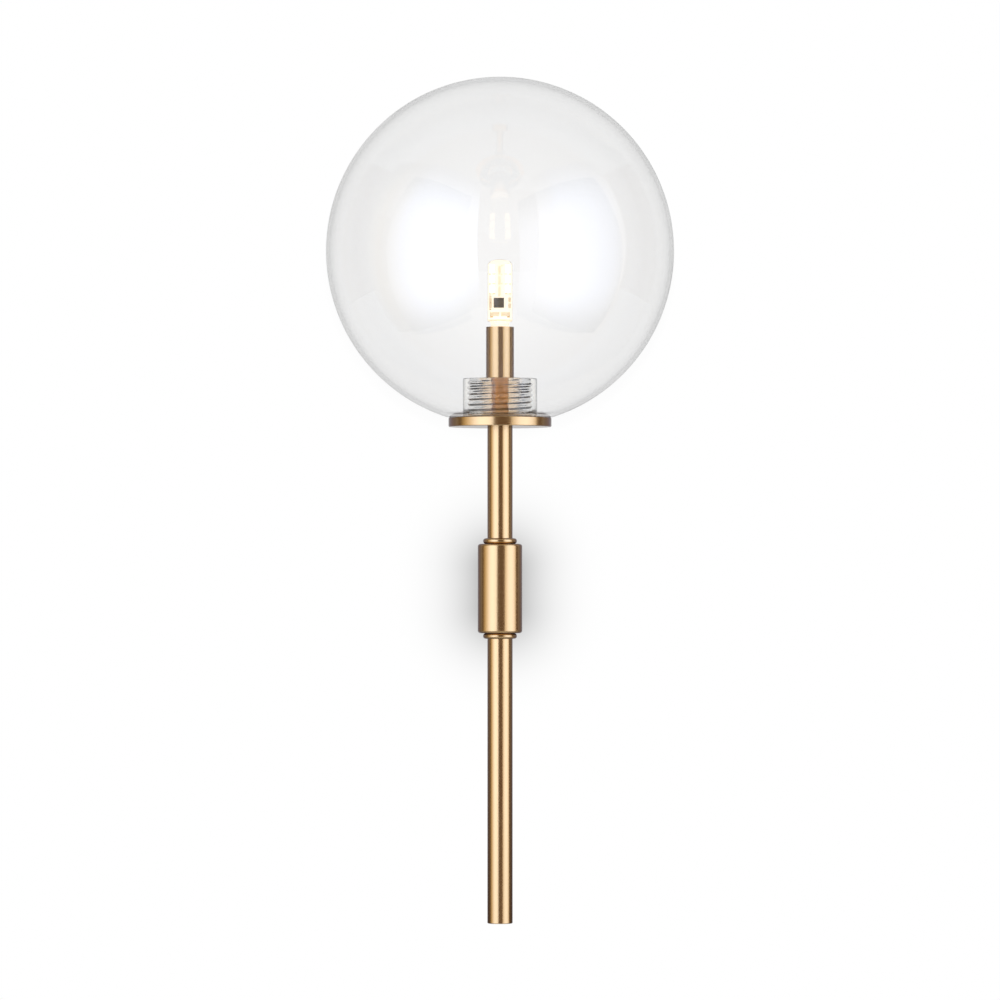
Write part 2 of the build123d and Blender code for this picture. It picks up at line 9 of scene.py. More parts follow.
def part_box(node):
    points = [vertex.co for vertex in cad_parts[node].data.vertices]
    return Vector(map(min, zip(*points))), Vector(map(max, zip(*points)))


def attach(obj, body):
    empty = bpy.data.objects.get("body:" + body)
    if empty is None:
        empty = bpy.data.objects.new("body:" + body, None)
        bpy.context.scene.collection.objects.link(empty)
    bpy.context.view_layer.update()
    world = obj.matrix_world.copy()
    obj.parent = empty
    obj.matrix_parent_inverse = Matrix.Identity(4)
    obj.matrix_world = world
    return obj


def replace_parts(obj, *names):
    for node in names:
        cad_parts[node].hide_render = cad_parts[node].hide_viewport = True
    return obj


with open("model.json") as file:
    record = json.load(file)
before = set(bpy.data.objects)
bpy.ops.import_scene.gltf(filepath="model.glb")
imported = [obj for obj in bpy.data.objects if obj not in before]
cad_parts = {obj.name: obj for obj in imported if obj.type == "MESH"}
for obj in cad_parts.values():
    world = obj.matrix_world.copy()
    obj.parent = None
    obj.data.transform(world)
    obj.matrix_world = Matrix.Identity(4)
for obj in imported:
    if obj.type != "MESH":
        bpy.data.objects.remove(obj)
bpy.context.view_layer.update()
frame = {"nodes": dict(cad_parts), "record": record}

# Globe wall sconce: what the eye sees of it. Lengths are in metres, +Z is up, and the
# wall is the plane y = 0 with the room on its -Y side.
MM = 0.001
FULL_TURN = 2 * math.pi

# ---- sizes read from the frame --------------------------------------------------------
globe_low, globe_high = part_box("globe")
bush_low, bush_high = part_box("neck_bush")
cover_low, cover_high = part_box("capsule_envelope")
canopy_low, canopy_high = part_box("canopy")

STEM_Y = (globe_low.y + globe_high.y) / 2       # the stem's axis, in front of the wall
GLOBE_RADIUS = (globe_high.x - globe_low.x) / 2
GLOBE_CENTRE = globe_high.z - GLOBE_RADIUS
GLOBE_BASE = globe_low.z
GLASS_WALL = 2.2 * MM
GLASS_FLOOR = 1.6 * MM
NECK_RADIUS = 21.3 * MM
NECK_LIP = 0.7 * MM                             # rounding of the neck's rims
NECK_TOP = bush_high.z
BORE_RADIUS = 11.7 * MM

# The thread between glass and bush: 3 mm pitch, as the record's coupling says. It is round,
# as a thread in pressed glass is, and the bush fills less than half of its depth.
THREAD_PITCH = 3 * MM
GLASS_THREAD, BUSH_THREAD = 0.7 * MM, 0.25 * MM
THREAD_ROW = 0.15 * MM                          # height of one row of faces on a thread
ON_WALL = 0.01 * MM                             # how near a point is that lies on the bare wall


# ---- making meshes ----------------------------------------------------------------------
def piece_from(bm, name, body, material, crease=40):
    """Turns a bmesh into a piece of the object that rides on a body."""
    bmesh.ops.remove_doubles(bm, verts=bm.verts, dist=1e-7)
    bmesh.ops.recalc_face_normals(bm, faces=bm.faces)
    mesh = bpy.data.meshes.new(name)
    bm.to_mesh(mesh)
    bm.free()
    mesh.shade_smooth()
    mesh.set_sharp_from_angle(angle=math.radians(crease))
    mesh.materials.append(material)
    piece = bpy.data.objects.new(name, mesh)
    bpy.context.scene.collection.objects.link(piece)
    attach(piece, body)
    return piece


def arc(centre_r, centre_z, radius, start, end, steps):
    """Points of an arc in a half profile. Angles are in degrees, 0 away from the axis and 90 up."""
    angles = [math.radians(start + (end - start) * i / steps) for i in range(steps + 1)]
    return [(centre_r + radius * math.cos(a), centre_z + radius * math.sin(a)) for a in angles]


def rows(radius, foot, top, height):
    """Points of a straight wall in a half profile, in rows of about the given height."""
    count = max(1, round(abs(top - foot) / height))
    return [(radius, foot + (top - foot) * i / count) for i in range(count + 1)]


def turn(bm, outline, closed, segments):
    """Spins a half profile of (radius, height) points round the stem's axis."""
    verts = [bm.verts.new((r, STEM_Y, z)) for r, z in outline]
    pairs = list(zip(verts, verts[1:]))
    if closed:
        pairs.append((verts[-1], verts[0]))
    edges = [bm.edges.new(pair) for pair in pairs]
    bmesh.ops.spin(bm, geom=verts + edges, cent=(0, STEM_Y, 0), axis=(0, 0, 1), angle=FULL_TURN,
                   steps=segments, use_merge=True)
    bmesh.ops.remove_doubles(bm, verts=bm.verts, dist=1e-7)


def box(bm, centre, size):
    """Adds a box of that centre and size."""
    verts = bmesh.ops.create_cube(bm, size=1)["verts"]
    bmesh.ops.scale(bm, verts=verts, vec=size)
    bmesh.ops.translate(bm, verts=verts, vec=centre)


def smooth_step(share):
    """Eases from 0 to 1 as the share goes from 0 to 1."""
    share = min(max(share, 0), 1)
    return share * share * (3 - 2 * share)


def cut_thread(bm, radius, foot, top, depth):
    """Moves the wall of that radius outwards in a round right-hand thread that fades at both ends."""
    for vert in bm.verts:
        offset = vert.co - Vector((0, STEM_Y, vert.co.z))
        if abs(offset.length - radius) > ON_WALL or not foot < vert.co.z < top:
            continue
        angle = math.atan2(offset.y, offset.x)
        along = (vert.co.z - GLOBE_BASE) / THREAD_PITCH - angle / FULL_TURN
        ridge = 0.5 + 0.5 * math.cos(FULL_TURN * along)
        run_in = smooth_step((vert.co.z - foot) / THREAD_PITCH)
        run_out = smooth_step((top - vert.co.z) / THREAD_PITCH)
        vert.co += offset.normalized() * depth * ridge * run_in * run_out


# ---- making materials --------------------------------------------------------------------
MIRRORED_GLOW = 0.2                             # share of a soft glow that glass and metal mirror
PHOSPHOR_SEEN, PHOSPHOR_MIRRORED = 3.2, 1.9


def colour(hex_code):
    """Linear colour of an sRGB hex code."""
    parts = [int(hex_code[i:i + 2], 16) / 255 for i in (0, 2, 4)]
    return [c / 12.92 if c <= 0.04045 else ((c + 0.055) / 1.055) ** 2.4 for c in parts] + [1.0]


def node(tree, kind, inputs=None, **settings):
    """Adds a node. Its inputs are values, or sockets that are linked."""
    made = tree.nodes.new(kind)
    for name, value in settings.items():
        setattr(made, name, value)
    for key, value in (inputs or {}).items():
        if isinstance(value, bpy.types.NodeSocket):
            tree.links.new(value, made.inputs[key])
        else:
            made.inputs[key].default_value = value
    return made


def new_material(name):
    """An empty material, its node tree and the Object coordinates."""
    made = bpy.data.materials.new(name)
    made.use_nodes = True
    tree = made.node_tree
    tree.nodes.clear()
    return made, tree, node(tree, "ShaderNodeTexCoord").outputs["Object"]


def show(tree, surface, volume=None):
    """Joins a shader, and a volume if there is one, to the material's output."""
    output = node(tree, "ShaderNodeOutputMaterial", {"Surface": surface.outputs[0]})
    if volume:
        tree.links.new(volume.outputs[0], output.inputs["Volume"])


def satin_brass():
    """Drawn and turned brass, satin finished round the axis and lacquered.

    The abrasive leaves fine rings that blur a reflection, and the drawn tube is never quite
    straight, so the edges of a long highlight wander a little."""
    made, tree, place = new_material("satin_brass")
    # rings of about 0.1 mm on the real one, drawn 0.5 mm wide so that they show
    stretched = node(tree, "ShaderNodeMapping", {"Vector": place, "Scale": (60, 60, 2000)})
    rings = node(tree, "ShaderNodeTexNoise", {"Vector": stretched.outputs[0], "Scale": 1.0, "Detail": 3.0})
    # lacquer and handling: soft patches about 15 mm across
    patches = node(tree, "ShaderNodeTexNoise", {"Vector": place, "Scale": 65.0, "Detail": 2.0})
    both = node(tree, "ShaderNodeMath", {0: rings.outputs[0], 1: patches.outputs[0]}, operation="ADD")
    rough = node(tree, "ShaderNodeMapRange", {"Value": both.outputs[0], "From Min": 0.6, "From Max": 1.4,
                                              "To Min": 0.17, "To Max": 0.24})
    # the drawn tube's own waves, about 40 mm long
    waves = node(tree, "ShaderNodeTexNoise", {"Vector": place, "Scale": 25.0, "Detail": 1.0})
    wavy = node(tree, "ShaderNodeBump", {"Height": waves.outputs[0], "Strength": 0.3, "Distance": 0.0006})
    fine = node(tree, "ShaderNodeBump", {"Height": rings.outputs[0], "Strength": 0.06, "Distance": 0.00004,
                                         "Normal": wavy.outputs[0]})
    # painted shade: the brass colour darkens towards glancing edges, standing in for the dim room that they
    # mirror
    glance = node(tree, "ShaderNodeLayerWeight", {"Blend": 0.5})
    painted_edge_shade = node(tree, "ShaderNodeMapRange", {"Value": glance.outputs["Facing"], "From Min": 0.28,
                                               "From Max": 0.54}, interpolation_type="SMOOTHSTEP")
    painted_edge_tone = node(tree, "ShaderNodeValToRGB", {"Fac": painted_edge_shade.outputs[0]})
    painted_edge_tone.color_ramp.elements[0].color = colour("F9CD8D")
    painted_edge_tone.color_ramp.elements[1].color = colour("86694A")
    show(tree, node(tree, "ShaderNodeBsdfPrincipled", {
        "Base Color": painted_edge_tone.outputs[0], "Metallic": 1.0, "Roughness": rough.outputs[0],
        "Specular Tint": colour("7A5A3C"), "Normal": fine.outputs[0], "Coat Weight": 0.8,
        "Coat Roughness": 0.12}))
    return made


def turned_brass():
    """Free-cutting brass as it leaves the lathe: yellower, with the tool's own rings."""
    made, tree, place = new_material("turned_brass")
    stretched = node(tree, "ShaderNodeMapping", {"Vector": place, "Scale": (200, 200, 3000)})
    rings = node(tree, "ShaderNodeTexNoise", {"Vector": stretched.outputs[0], "Scale": 1.0, "Detail": 2.0})
    rough = node(tree, "ShaderNodeMapRange", {"Value": rings.outputs[0], "To Min": 0.24, "To Max": 0.4})
    bump = node(tree, "ShaderNodeBump", {"Height": rings.outputs[0], "Strength": 0.3, "Distance": 0.00005})
    show(tree, node(tree, "ShaderNodeBsdfPrincipled", {
        "Base Color": colour("D9AC76"), "Metallic": 1.0, "Roughness": rough.outputs[0],
        "Normal": bump.outputs[0]}))
    return made


def zinc_steel():
    """Pressed steel, bright zinc plated: bluish grey, with faint cloudy spangle."""
    made, tree, place = new_material("zinc_steel")
    # clouds about 2 mm across
    clouds = node(tree, "ShaderNodeTexNoise", {"Vector": place, "Scale": 500.0, "Detail": 4.0})
    tint = node(tree, "ShaderNodeValToRGB", {"Fac": clouds.outputs[0]})
    tint.color_ramp.elements[0].color = colour("A9AFB4")
    tint.color_ramp.elements[1].color = colour("C9CED2")
    rough = node(tree, "ShaderNodeMapRange", {"Value": clouds.outputs[0], "To Min": 0.28, "To Max": 0.46})
    show(tree, node(tree, "ShaderNodeBsdfPrincipled", {
        "Base Color": tint.outputs[0], "Metallic": 1.0, "Roughness": rough.outputs[0]}))
    return made


def nickel_spring():
    """Nickel-plated bronze strip and wire: warm grey and smooth, with a rolled grain."""
    made, tree, place = new_material("nickel_spring")
    grain = node(tree, "ShaderNodeTexNoise", {"Vector": place, "Scale": 900.0, "Detail": 3.0})
    rough = node(tree, "ShaderNodeMapRange", {"Value": grain.outputs[0], "To Min": 0.16, "To Max": 0.3})
    show(tree, node(tree, "ShaderNodeBsdfPrincipled", {
        "Base Color": colour("CFC9BE"), "Metallic": 1.0, "Roughness": rough.outputs[0]}))
    return made


def clear_glass():
    """Blown soda-lime glass, fire polished: no haze, a green-grey cast where it is thick.

    A blown wall is never quite even, so lines seen through it sway by a hair."""
    made, tree, place = new_material("clear_glass")
    # slow waves from blowing, about 50 mm across
    waves = node(tree, "ShaderNodeTexNoise", {"Vector": place, "Scale": 20.0, "Detail": 1.0})
    bump = node(tree, "ShaderNodeBump", {"Height": waves.outputs[0], "Strength": 0.15, "Distance": 0.0004})
    shader = node(tree, "ShaderNodeBsdfPrincipled", {
        "Base Color": colour("FFFFFF"), "Roughness": 0.0, "IOR": 1.517, "Transmission Weight": 1.0,
        "Normal": bump.outputs[0]})
    cast = node(tree, "ShaderNodeVolumeAbsorption", {"Color": colour("C8D2CF"), "Density": 4.0})
    show(tree, shader, cast)
    return made


def clear_polycarbonate():
    """Moulded clear polycarbonate: a higher index than glass and a slight warm cast."""
    made, tree, place = new_material("clear_polycarbonate")
    flow = node(tree, "ShaderNodeTexNoise", {"Vector": place, "Scale": 150.0, "Detail": 2.0})
    rough = node(tree, "ShaderNodeMapRange", {"Value": flow.outputs[0], "To Min": 0.0, "To Max": 0.04})
    show(tree, node(tree, "ShaderNodeBsdfPrincipled", {
        "Base Color": colour("F6E8D4"), "Roughness": rough.outputs[0], "IOR": 1.585,
        "Transmission Weight": 1.0}))
    return made


def clear_silicone():
    """Moulded silicone rubber: clear but soft to the eye, with a matt moulded skin."""
    made, tree, place = new_material("clear_silicone")
    skin = node(tree, "ShaderNodeTexNoise", {"Vector": place, "Scale": 1500.0, "Detail": 2.0})
    rough = node(tree, "ShaderNodeMapRange", {"Value": skin.outputs[0], "To Min": 0.2, "To Max": 0.4})
    show(tree, node(tree, "ShaderNodeBsdfPrincipled", {
        "Base Color": colour("EDEDE8"), "Roughness": rough.outputs[0], "IOR": 1.41,
        "Transmission Weight": 0.85}))
    return made


def capsule_silicone():
    """Cast optical silicone round the lit board: glossy, clear, a trace of cream."""
    made, tree, place = new_material("capsule_silicone")
    skin = node(tree, "ShaderNodeTexNoise", {"Vector": place, "Scale": 400.0, "Detail": 1.0})
    bump = node(tree, "ShaderNodeBump", {"Height": skin.outputs[0], "Strength": 0.15, "Distance": 0.0001})
    show(tree, node(tree, "ShaderNodeBsdfPrincipled", {
        "Base Color": colour("FFFBF2"), "Roughness": 0.02, "IOR": 1.41, "Transmission Weight": 1.0,
        "Normal": bump.outputs[0]}))
    return made


def fired_ceramic(name, base, glow):
    """Pressed steatite, fired and unglazed: matt with a fine grain. glow is painted light, an emission
    standing in for the lamp's light falling on it.
    """
    made, tree, place = new_material(name)
    # pressed grain, 0.05 mm on the real one and drawn 0.3 mm
    grain = node(tree, "ShaderNodeTexNoise", {"Vector": place, "Scale": 3000.0, "Detail": 3.0})
    rough = node(tree, "ShaderNodeMapRange", {"Value": grain.outputs[0], "To Min": 0.45, "To Max": 0.65})
    bump = node(tree, "ShaderNodeBump", {"Height": grain.outputs[0], "Strength": 0.2, "Distance": 0.00005})
    show(tree, node(tree, "ShaderNodeBsdfPrincipled", {
        "Base Color": colour(base), "Roughness": rough.outputs[0], "Normal": bump.outputs[0],
        "Emission Color": colour("FFE9C8"), "Emission Strength": glow}))
    return made


def blend(tree, share, first, second):
    """Mixes two shaders: the first alone where share is 0, and the second alone where it is 1."""
    return node(tree, "ShaderNodeMixShader", {0: share, 1: first.outputs[0], 2: second.outputs[0]})


def seen_glow(tree, glow, mirrored):
    """Strength of a glow, the phosphor's own light and the painted light on parts near it: overexposed where
    it is seen, weaker where glass mirrors it.
    """
    return node(tree, "ShaderNodeMapRange", {"Value": bounced(tree), "To Min": glow,
                                             "To Max": mirrored}).outputs[0]


def moulded_plastic(name, light, dark, roughness, glow=0.0):
    """Moulded or extruded plastic, matt, with a fine even skin and a little unevenness in its
    colour. glow is painted light, an emission standing in for the lamp's light falling on it."""
    made, tree, place = new_material(name)
    skin = node(tree, "ShaderNodeTexNoise", {"Vector": place, "Scale": 1200.0, "Detail": 3.0})
    tint = node(tree, "ShaderNodeMix", {"Factor": skin.outputs[0], "A": colour(light), "B": colour(dark)},
                data_type="RGBA")
    rough = node(tree, "ShaderNodeMapRange", {"Value": skin.outputs[0], "To Min": roughness,
                                              "To Max": roughness + 0.15})
    strength = seen_glow(tree, glow, MIRRORED_GLOW * glow)
    show(tree, node(tree, "ShaderNodeBsdfPrincipled", {
        "Base Color": tint.outputs["Result"], "Roughness": rough.outputs[0],
        "Emission Color": colour("FFF4E2"), "Emission Strength": strength}))
    return made


def lit_phosphor():
    """Phosphor gel of a warm white LED that is on: the gel's own light hides its yellow."""
    made, tree, place = new_material("lit_phosphor")
    cloud = node(tree, "ShaderNodeTexNoise", {"Vector": place, "Scale": 700.0, "Detail": 2.0})
    uneven = node(tree, "ShaderNodeMapRange", {"Value": cloud.outputs[0], "To Min": 0.85, "To Max": 1.15})
    glow = seen_glow(tree, PHOSPHOR_SEEN, PHOSPHOR_MIRRORED)
    strength = node(tree, "ShaderNodeMath", {0: uneven.outputs[0], 1: glow}, operation="MULTIPLY")
    show(tree, node(tree, "ShaderNodeBsdfPrincipled", {
        "Base Color": colour("F2D98A"), "Roughness": 0.4, "Emission Color": colour("FFE6BE"),
        "Emission Strength": strength.outputs[0]}))
    return made


# ---- camera -----------------------------------------------------------------------------
CAMERA_DISTANCE = 3.0           # from the stem's axis
CAMERA_HEIGHT = -0.002          # level with the sleeve
LENS, SENSOR = 187.9, 36.0      # a long lens, in millimetres
VIEW_SHIFT = 0.092              # keeps the wall upright while the frame looks higher


def make_camera():
    """Looks straight at the wall, level with the sleeve."""
    camera = bpy.data.cameras.new("camera")
    camera.lens, camera.sensor_width, camera.shift_y = LENS, SENSOR, VIEW_SHIFT
    stand = bpy.data.objects.new("camera", camera)
    stand.location = (0, STEM_Y - CAMERA_DISTANCE, CAMERA_HEIGHT)
    stand.rotation_euler = (math.radians(90), 0, 0)
    bpy.context.scene.collection.objects.link(stand)
    bpy.context.scene.camera = stand


# ---- studio: white backdrop, two big diffusers in front, a dim room -----------------------
BACKDROP_WHITE = 1.0
ROOM_IN_METAL = "62544C"        # the dim warm studio that metal and glass mirror
STRAY_LIGHT = "FFF0DE"          # studio and lamp light mixed, in glass that is thick and threaded
STRAY_LEVEL = 1.0
ROOM_FILL = 0.35                # the same studio as plain fill light
WALL_GLOW = 120 * MM, 560 * MM  # where the light that glass and metal mirror of the wall fades
MIRRORED_WALL = 0.75
# painted light and shade on the wall behind the globe: the lamp's own light in the middle, then the glass's
# faint shade, as pairs of a distance from the globe's centre and a brightness
PAINTED_BEHIND_GLASS = ((0.0, 1.055), (0.028, 1.045), (0.062, 0.98), (0.1, 0.98), (0.106, 1.0))
FLOOR_HEIGHT = -1.6             # a wall light hangs about this high
STAGE_SIZE = 6.0
OVERHEAD, OVERHEAD_HEIGHT = 0.3, 2.4
PAINTED_SHADOW_REACH = 60 * MM         # how far the canopy's painted soft shadow reaches over the wall
PAINTED_SHADOW_DEPTH = 0.458           # how dark that painted shadow is at the canopy
PAINTED_SHADOW_FALL = 3.27             # and the power by which it fades
BALL_PASSES = 4                 # surfaces that light passes on its way through both walls of the ball
ROOM_SPILL = (1.2, 1.0, 0.62)   # tint of a diffuser where it is dim
DAYLIGHT = (0.9, 1.03, 1.42)    # and where it is bright
SPILL_LEVEL, TINT_STEP = 0.3, 0.9   # brightness where the tint starts to change, and the change's length
DIFFUSER_END = 0.35             # brightness at a diffuser's upper and lower end


def stage_piece(name, bm, material):
    """Turns a bmesh into a piece of the studio, which is no part of the object."""
    mesh = bpy.data.meshes.new(name)
    bm.to_mesh(mesh)
    bm.free()
    mesh.materials.append(material)
    piece = bpy.data.objects.new(name, mesh)
    bpy.context.scene.collection.objects.link(piece)
    return piece


def bounced(tree):
    """1 for light that a surface has mirrored or scattered, and 0 where the eye looks straight at
    something, through glass or not."""
    path = node(tree, "ShaderNodeLightPath")
    turns = node(tree, "ShaderNodeMath", {
        0: path.outputs["Glossy Depth"], 1: path.outputs["Diffuse Depth"]}, operation="ADD")
    return node(tree, "ShaderNodeMath", {0: turns.outputs[0], 1: 1.0}, operation="MINIMUM").outputs[0]


def passed_neck(tree):
    """1 for light that has passed more glass than the ball's two walls, as the neck's has, and 0
    for other light."""
    path = node(tree, "ShaderNodeLightPath")
    return node(tree, "ShaderNodeMath", {
        0: path.outputs["Transmission Depth"], 1: BALL_PASSES + 0.5},
        operation="GREATER_THAN").outputs[0]


def make_world():
    """White where it is looked at, and a dim room for what the object mirrors."""
    world = bpy.data.worlds.new("studio")
    world.use_nodes = True
    bpy.context.scene.world = world
    tree = world.node_tree
    tree.nodes.clear()
    path = node(tree, "ShaderNodeLightPath")
    scattered = node(tree, "ShaderNodeMath", {0: path.outputs["Diffuse Depth"], 1: 1.0}, operation="MINIMUM")
    white = node(tree, "ShaderNodeBackground", {"Color": colour("FFFFFF"), "Strength": BACKDROP_WHITE})
    room = node(tree, "ShaderNodeBackground", {"Color": colour(ROOM_IN_METAL), "Strength": 1.0})
    fill = node(tree, "ShaderNodeBackground", {"Color": colour("FFFFFF"), "Strength": ROOM_FILL})
    # what has passed the thick neck is mixed with stray light
    stray = node(tree, "ShaderNodeBackground", {"Color": colour(STRAY_LIGHT), "Strength": STRAY_LEVEL})
    around = blend(tree, passed_neck(tree), room, stray)
    dim = blend(tree, scattered.outputs[0], around, fill)
    light = blend(tree, bounced(tree), white, dim)
    node(tree, "ShaderNodeOutputWorld", {"Surface": light.outputs[0]})


def make_wall():
    """The white wall, seen from the room only, with a painted soft shadow round the canopy and painted lamp
    light and glass shade behind the globe.
    """
    made, tree, place = new_material("white_wall")
    # painted shadow: the wall's white darkens towards the canopy
    core = (canopy_high.z - canopy_low.z - canopy_high.x + canopy_low.x) / 2
    parts = node(tree, "ShaderNodeSeparateXYZ", {0: place})
    tall = node(tree, "ShaderNodeMath", {0: parts.outputs["Z"]}, operation="ABSOLUTE")
    past = node(tree, "ShaderNodeMath", {0: tall.outputs[0], 1: core}, operation="SUBTRACT")
    over = node(tree, "ShaderNodeMath", {0: past.outputs[0], 1: 0.0}, operation="MAXIMUM")
    flat = node(tree, "ShaderNodeCombineXYZ", {0: parts.outputs["X"], 1: over.outputs[0]})
    away = node(tree, "ShaderNodeVectorMath", {0: flat.outputs[0]}, operation="LENGTH")
    near = node(tree, "ShaderNodeMapRange", {"Value": away.outputs["Value"], "From Min": canopy_high.x,
                                             "From Max": canopy_high.x + PAINTED_SHADOW_REACH,
                                             "To Min": 1.0, "To Max": 0.0})
    soft = node(tree, "ShaderNodeMath", {0: near.outputs[0], 1: PAINTED_SHADOW_FALL}, operation="POWER")
    white = node(tree, "ShaderNodeMapRange", {"Value": soft.outputs[0], "To Min": BACKDROP_WHITE,
                                              "To Max": BACKDROP_WHITE - PAINTED_SHADOW_DEPTH})
    # painted light and shade: the lamp's light and the glass's faint shadow on the wall behind the globe
    far = node(tree, "ShaderNodeVectorMath", {0: place, 1: (0, 0, GLOBE_CENTRE)}, operation="DISTANCE")
    reach = PAINTED_BEHIND_GLASS[-1][0]
    across = node(tree, "ShaderNodeMath", {0: far.outputs["Value"], 1: reach}, operation="DIVIDE",
                  use_clamp=True)
    shades = node(tree, "ShaderNodeFloatCurve", {"Value": across.outputs[0]})
    own = shades.mapping.curves[0].points
    for point, (at, level) in zip(own, (PAINTED_BEHIND_GLASS[0], PAINTED_BEHIND_GLASS[-1])):
        point.location = at / reach, level / 2
    for at, level in PAINTED_BEHIND_GLASS[1:-1]:
        own.new(at / reach, level / 2)
    shades.mapping.update()
    painted_lamp_light = node(tree, "ShaderNodeMath", {0: shades.outputs[0], 1: 2.0}, operation="MULTIPLY")
    both = node(tree, "ShaderNodeMath", {0: white.outputs[0], 1: painted_lamp_light.outputs[0]}, operation="MULTIPLY")
    painted = node(tree, "ShaderNodeEmission", {"Strength": both.outputs[0]})
    share = node(tree, "ShaderNodeMapRange", {"Value": far.outputs["Value"], "From Min": WALL_GLOW[0],
                                              "From Max": WALL_GLOW[1], "To Min": 1.0, "To Max": 0.0},
                 interpolation_type="SMOOTHSTEP")
    clear = node(tree, "ShaderNodeBsdfTransparent")
    glow = node(tree, "ShaderNodeEmission", {"Strength": MIRRORED_WALL})
    mirrored = blend(tree, share.outputs[0], clear, glow)
    wall = blend(tree, bounced(tree), painted, mirrored)
    side = node(tree, "ShaderNodeNewGeometry")
    show(tree, blend(tree, side.outputs["Backfacing"], wall, clear))
    bm = bmesh.new()
    bmesh.ops.create_grid(bm, x_segments=1, y_segments=1, size=STAGE_SIZE / 2)
    bmesh.ops.rotate(bm, verts=bm.verts, matrix=Matrix.Rotation(math.radians(90), 3, "X"))
    bmesh.ops.translate(bm, verts=bm.verts, vec=(0, 0.1 * MM, FLOOR_HEIGHT + STAGE_SIZE / 2))
    piece = stage_piece("wall", bm, made)
    piece.visible_diffuse = piece.visible_shadow = False


def make_floor():
    """Plain pale floor, far below the lamp, as white as the wall where it is seen."""
    made, tree, _ = new_material("pale_floor")
    paint = node(tree, "ShaderNodeBsdfDiffuse", {"Color": colour("E8E8E8")})
    white = node(tree, "ShaderNodeEmission", {"Strength": BACKDROP_WHITE})
    stray = node(tree, "ShaderNodeEmission", {"Color": colour(STRAY_LIGHT), "Strength": STRAY_LEVEL})
    dim = blend(tree, passed_neck(tree), paint, stray)
    show(tree, blend(tree, bounced(tree), white, dim))
    bm = bmesh.new()
    bmesh.ops.create_grid(bm, x_segments=1, y_segments=1, size=STAGE_SIZE)
    bmesh.ops.translate(bm, verts=bm.verts, vec=(0, 0, FLOOR_HEIGHT))
    stage_piece("floor", bm, made)


def make_diffuser(name, azimuth, distance, width, height, middle, levels):
    """An upright diffusion panel that faces the stem, lit from behind by daylight lamps.

    azimuth 0 is at the camera, and 90 is to its right. levels are pairs of a place across the
    panel, 0 to 1 towards higher azimuths, and the brightness there."""
    made, tree, place = new_material(name)
    turned = math.radians(azimuth)
    out = Vector((math.sin(turned), -math.cos(turned), 0))
    along = Vector((math.cos(turned), math.sin(turned), 0))
    centre = Vector((0, STEM_Y, middle)) + out * distance
    offset = node(tree, "ShaderNodeVectorMath", {0: place, 1: centre}, operation="SUBTRACT")
    across = node(tree, "ShaderNodeVectorMath", {0: offset.outputs[0], 1: along / width},
                  operation="DOT_PRODUCT")
    ramp = node(tree, "ShaderNodeValToRGB", {"Fac": node(tree, "ShaderNodeMath", {
        0: across.outputs["Value"], 1: 0.5}, operation="ADD").outputs[0]})
    brightest = 1.5 * max(level for at, level in levels)
    stops = ramp.color_ramp.elements
    while len(stops) < len(levels):
        stops.new(0.5)
    for stop, (at, level) in zip(stops, levels):
        # warm spill from the room where it is dim, daylight where it is bright
        share = smooth_step((level - SPILL_LEVEL) / TINT_STEP)
        stop.position = at
        stop.color = [level / brightest * (warm + (cool - warm) * share)
                      for warm, cool in zip(ROOM_SPILL, DAYLIGHT)] + [1.0]
    tall = node(tree, "ShaderNodeSeparateXYZ", {0: offset.outputs[0]})
    off = node(tree, "ShaderNodeMath", {0: tall.outputs["Z"]}, operation="ABSOLUTE")
    fade = node(tree, "ShaderNodeMapRange", {
        "Value": off.outputs[0], "From Min": height * 0.15, "From Max": height / 2,
        "To Min": brightest, "To Max": DIFFUSER_END}, interpolation_type="SMOOTHSTEP")
    lit = node(tree, "ShaderNodeEmission", {"Color": ramp.outputs["Color"], "Strength": fade.outputs[0]})
    # thick glass mixes the daylight with the lamp's own warm light
    level = node(tree, "ShaderNodeMath", {0: ramp.outputs["Color"], 1: fade.outputs[0]}, operation="MULTIPLY")
    mixed = node(tree, "ShaderNodeEmission", {"Color": colour(STRAY_LIGHT), "Strength": level.outputs[0]})
    either = blend(tree, passed_neck(tree), lit, mixed)
    clear = node(tree, "ShaderNodeBsdfTransparent")
    show(tree, blend(tree, bounced(tree), clear, either))
    bm = bmesh.new()
    bmesh.ops.create_grid(bm, x_segments=1, y_segments=1, size=0.5)
    bmesh.ops.scale(bm, verts=bm.verts, vec=(width, height, 1))
    bmesh.ops.rotate(bm, verts=bm.verts, matrix=Matrix.Rotation(math.radians(90), 3, "X"))
    bmesh.ops.rotate(bm, verts=bm.verts, matrix=Matrix.Rotation(turned, 3, "Z"))
    bmesh.ops.translate(bm, verts=bm.verts, vec=centre)
    stage_piece(name, bm, made).visible_camera = False


def make_overhead():
    """A big weak silk overhead, for the light that the thick glass sends upwards."""
    made, tree, _ = new_material("overhead_silk")
    weak = node(tree, "ShaderNodeEmission", {"Strength": OVERHEAD})
    stray = node(tree, "ShaderNodeEmission", {"Color": colour(STRAY_LIGHT), "Strength": STRAY_LEVEL})
    lit = blend(tree, passed_neck(tree), weak, stray)
    clear = node(tree, "ShaderNodeBsdfTransparent")
    show(tree, blend(tree, bounced(tree), clear, lit))
    bm = bmesh.new()
    bmesh.ops.create_grid(bm, x_segments=1, y_segments=1, size=STAGE_SIZE / 2)
    bmesh.ops.translate(bm, verts=bm.verts, vec=(0, 0, OVERHEAD_HEIGHT))
    stage_piece("overhead", bm, made).visible_camera = False


